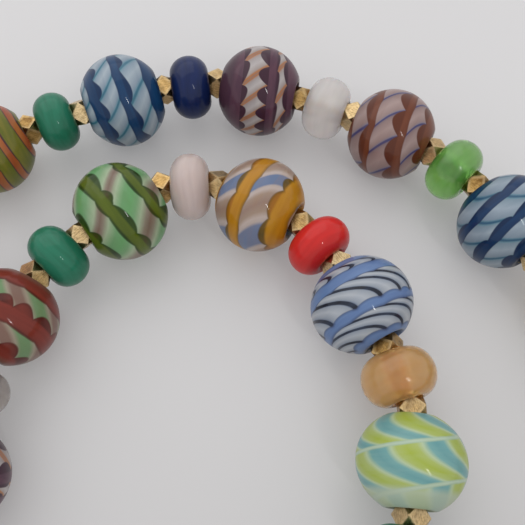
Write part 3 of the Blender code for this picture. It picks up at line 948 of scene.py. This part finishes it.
STRING_HEIGHT = laid["clasp"][0].z
joints = [joint_between(on_string[i - 1], on_string[i]) for i in range(around)]
copies = []
for i, (middle, heading) in enumerate(joints):
    copy = lay(brass_bead, f"brass_{i:02d}", Vector(), Vector((1, 0, 0)))
    only(copy)
    bpy.ops.object.mode_set(mode="EDIT")
    bpy.ops.mesh.select_all(action="SELECT")
    bpy.ops.transform.vertex_random(offset=DENTS, seed=i)
    bpy.ops.object.mode_set(mode="OBJECT")
    note_places(copy)
    polish = copy.data.attributes.new("polish", "FLOAT", "POINT")
    polish.data.foreach_set("value", [POLISH[i % len(POLISH)]] * len(copy.data.vertices))
    step = i if i else around
    copies.append(lay(copy, f"brass_bead_{i:02d}", middle, heading, -CUBE_TURN * step))
    bpy.data.objects.remove(copy)
only(copies[0])
for copy in copies:
    copy.select_set(True)
bpy.ops.object.join()
brass_beads = copies[0]
brass_beads.name = brass_beads.data.name = "brass_beads"
brass_beads.data.materials.append(brass)
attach(brass_beads, "root")
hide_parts("string")
print(around, "brass beads,", len(brass_beads.data.polygons), "faces")

# %% [markdown]
# ## The thread
#
# Only glimpses of it show between the beads.  It is a curve through the joints, given a round
# section and made a mesh.

# %% Make the thread
THREAD_RADIUS = 0.4 * MM
INTO_CLASP = 2.2 * MM

clasp_middle, clasp_way, clasp_length, clasp_radius = laid["clasp"]
line = [clasp_middle + clasp_way * (clasp_length / 2 - INTO_CLASP)]
line += [middle for middle, _ in joints[1:] + joints[:1]]
line.append(clasp_middle - clasp_way * (clasp_length / 2 - INTO_CLASP))
route = bpy.data.curves.new("thread", "CURVE")
route.dimensions = "3D"
run = route.splines.new("POLY")
run.points.add(len(line) - 1)
for point, spot in zip(run.points, line):
    point.co = (*spot, 1.0)
route.bevel_depth, route.bevel_resolution, route.use_fill_caps = THREAD_RADIUS, 2, True
thread = bpy.data.objects.new("thread", route)
bpy.context.collection.objects.link(thread)
only(thread)
bpy.ops.object.convert(target="MESH")
thread = bpy.context.object
bpy.ops.object.shade_smooth()
note_places(thread)
thread.data.materials.append(wire_brass)
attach(thread, "root")
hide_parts("string")

# %% [markdown]
# ## The clasp
#
# It is a barrel in two halves that screw together.  A cylinder is cut into rings, and each ring is
# widened or narrowed: a groove at the seam, a plain collar, a fluted grip, another collar and a
# sloping shoulder.  The thread goes into a socket in each end.

# %% Model the clasp
# where each ring ends, in mm from the seam, and its width there as a share of the clasp's
SEAM_TO_END = [(0.15, 0.93), (0.3, 1.0), (0.8, 1.0), (0.95, 0.95), (3.2, 0.95), (3.35, 1.0),
               (4.1, 1.0)]
SOCKET_RADIUS = 1.2 * MM
SOCKET_DEPTH = 2.5 * MM
FLUTES = 24

bpy.ops.object.select_all(action="DESELECT")
bpy.ops.mesh.primitive_cylinder_add(vertices=2 * FLUTES, radius=clasp_radius, depth=clasp_length,
                                    rotation=(0, math.pi / 2, 0))
clasp = bpy.context.object
clasp.name = clasp.data.name = "barrel_clasp"
bpy.ops.object.transform_apply(location=False, rotation=True, scale=True)
bpy.ops.object.mode_set(mode="EDIT")
for where, share in SEAM_TO_END:
    for side in (1, -1):
        bpy.ops.mesh.select_all(action="SELECT")
        bpy.ops.mesh.bisect(plane_co=(side * where * MM, 0, 0), plane_no=(1, 0, 0))
end = clasp_length / 2
end_share = 1 - (end - SEAM_TO_END[-1][0] * MM) / clasp_radius
for where, share in SEAM_TO_END + [(end / MM, end_share)]:
    mark("VERT", lambda vert: abs(abs(vert.co.x) - where * MM) < 0.01 * MM)
    bpy.ops.transform.resize(value=(1, share, share), center_override=(0, 0, 0))
for side in (1, -1):
    mark("FACE", lambda face: face.normal.x * side > 0.9)
    bpy.ops.mesh.inset(thickness=clasp_radius * end_share - SOCKET_RADIUS)
    inwards = (-side * SOCKET_DEPTH, 0, 0)
    bpy.ops.mesh.extrude_region_move(TRANSFORM_OT_translate={"value": inwards})
flute = 2 * math.pi / FLUTES


def in_a_flute(face):
    """True for every other face round the grip, which lies between the two collars."""
    spot = face.calc_center_median()
    turn = math.atan2(spot.z, spot.y) % flute
    return 0.95 * MM < abs(spot.x) < 3.2 * MM and off_axis(spot) > 2.0 * MM and turn < flute / 2


mark("FACE", in_a_flute)
print("flutes:", sum(face.select for face in bmesh.from_edit_mesh(clasp.data).faces))
bpy.ops.mesh.inset(thickness=0.05 * MM, depth=-0.1 * MM, use_individual=True)
mark("EDGE", lambda edge: len(edge.link_faces) == 2
     and abs(edge.verts[0].co.x - edge.verts[1].co.x) < 0.01 * MM
     and edge.link_faces[0].normal.angle(edge.link_faces[1].normal) > 0.5
     and abs(middle_of(edge).x) > 3.3 * MM and off_axis(middle_of(edge)) > 1.3 * MM)
bpy.ops.mesh.bevel(offset=0.12 * MM, segments=3)
mark("FACE", lambda face: True)
bpy.ops.mesh.normals_make_consistent(inside=False)
bpy.ops.object.mode_set(mode="OBJECT")
bpy.ops.object.shade_smooth_by_angle(angle=math.radians(30))
note_places(clasp)
clasp.data.materials.append(clasp_brass)
clasp.rotation_euler = (0, 0, math.atan2(clasp_way.y, clasp_way.x))
clasp.location = clasp_middle
bpy.ops.object.transform_apply(location=True, rotation=True, scale=True)
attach(clasp, "root")
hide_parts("clasp")
report("clasp", clasp)

for pattern in (large, small, brass_bead):
    bpy.data.objects.remove(pattern)

# %% [markdown]
# ## The setting
#
# A pale surface, a wide soft light above and behind, and one small bright light to the right.  The
# room itself gives most of the light, so the shadows are soft and lie close under the beads.  The
# surface's grey is painted a little darker on the near side, away from the light: that is painted
# shade.  It glows a little of its own, which stands in for light that bounces about under the
# beads.

# %% Make the floor
FLOOR = -0.14 * MM             # just under the beads, which are round where the CAD's are flat
bpy.ops.mesh.primitive_plane_add(size=3, location=(0, 0, FLOOR))
floor = bpy.context.object
floor.name = "pale_table"
paper = bpy.data.materials.new("pale_table")
paper.use_nodes = True
shader = paper.node_tree.nodes["Principled BSDF"]
place = add(paper.node_tree, "ShaderNodeTexCoord").outputs["Object"]
ahead = add(paper.node_tree, "ShaderNodeSeparateXYZ", Vector=place).outputs["Y"]
# Painted shade: the surface's grey is darker towards the near side, for light that falls off
# there.
far = ramp_between(paper.node_tree, ahead, -90 * MM, 30 * MM)
painted_shade_grey = mixed(paper.node_tree, far, (0.31, 0.303, 0.303, 1), (0.47, 0.462, 0.466, 1))
join(paper.node_tree, painted_shade_grey, shader.inputs["Base Color"])
shader.inputs["Roughness"].default_value = 0.6
shader.inputs["Emission Color"].default_value = (1.0, 0.985, 0.99, 1)
shader.inputs["Emission Strength"].default_value = 0.165
floor.data.materials.append(paper)

# %% Light it


def area_light(name, place, target, size, watts):
    """A rectangular soft light that faces the target."""
    bulb = bpy.data.lights.new(name, "AREA")
    bulb.shape, bulb.size, bulb.size_y, bulb.energy = "RECTANGLE", size[0], size[1], watts
    holder = bpy.data.objects.new(name, bulb)
    bpy.context.collection.objects.link(holder)
    holder.location = place
    holder.rotation_euler = (Vector(target) - Vector(place)).to_track_quat("-Z", "Y").to_euler()
    return holder


area_light("window", (-0.22, 0.5, 0.6), (0, 0, 0), (1.1, 0.8), 2.0)
area_light("lamp", (0.20, -0.24, 0.40), (0.01, 0, 0), (0.007, 0.14), 0.17)
world = bpy.data.worlds.new("room")
bpy.context.scene.world = world
world.use_nodes = True
tree = world.node_tree
looking = add(tree, "ShaderNodeTexCoord").outputs["Generated"]
way = add(tree, "ShaderNodeSeparateXYZ", Vector=looking)
height = ramp_between(tree, way.outputs["Z"], 0.1, 1.0)
room = mixed(tree, height, (0.93, 0.93, 0.94, 1), (0.91, 0.91, 0.91, 1))
join(tree, room, tree.nodes["Background"].inputs["Color"])
tree.nodes["Background"].inputs["Strength"].default_value = 0.93
bpy.context.scene.view_settings.view_transform = "Standard"

# %% Set up the camera
lens = bpy.data.cameras.new("camera")
camera = bpy.data.objects.new("camera", lens)
bpy.context.collection.objects.link(camera)
camera.location = (11.56 * MM, -21.92 * MM, 90.17 * MM)
camera.rotation_euler = (math.radians(23), 0, 0)
lens.sensor_width, lens.lens = 36.0, 44.57
lens.clip_start, lens.clip_end = 0.005, 20.0
bpy.context.scene.camera = camera
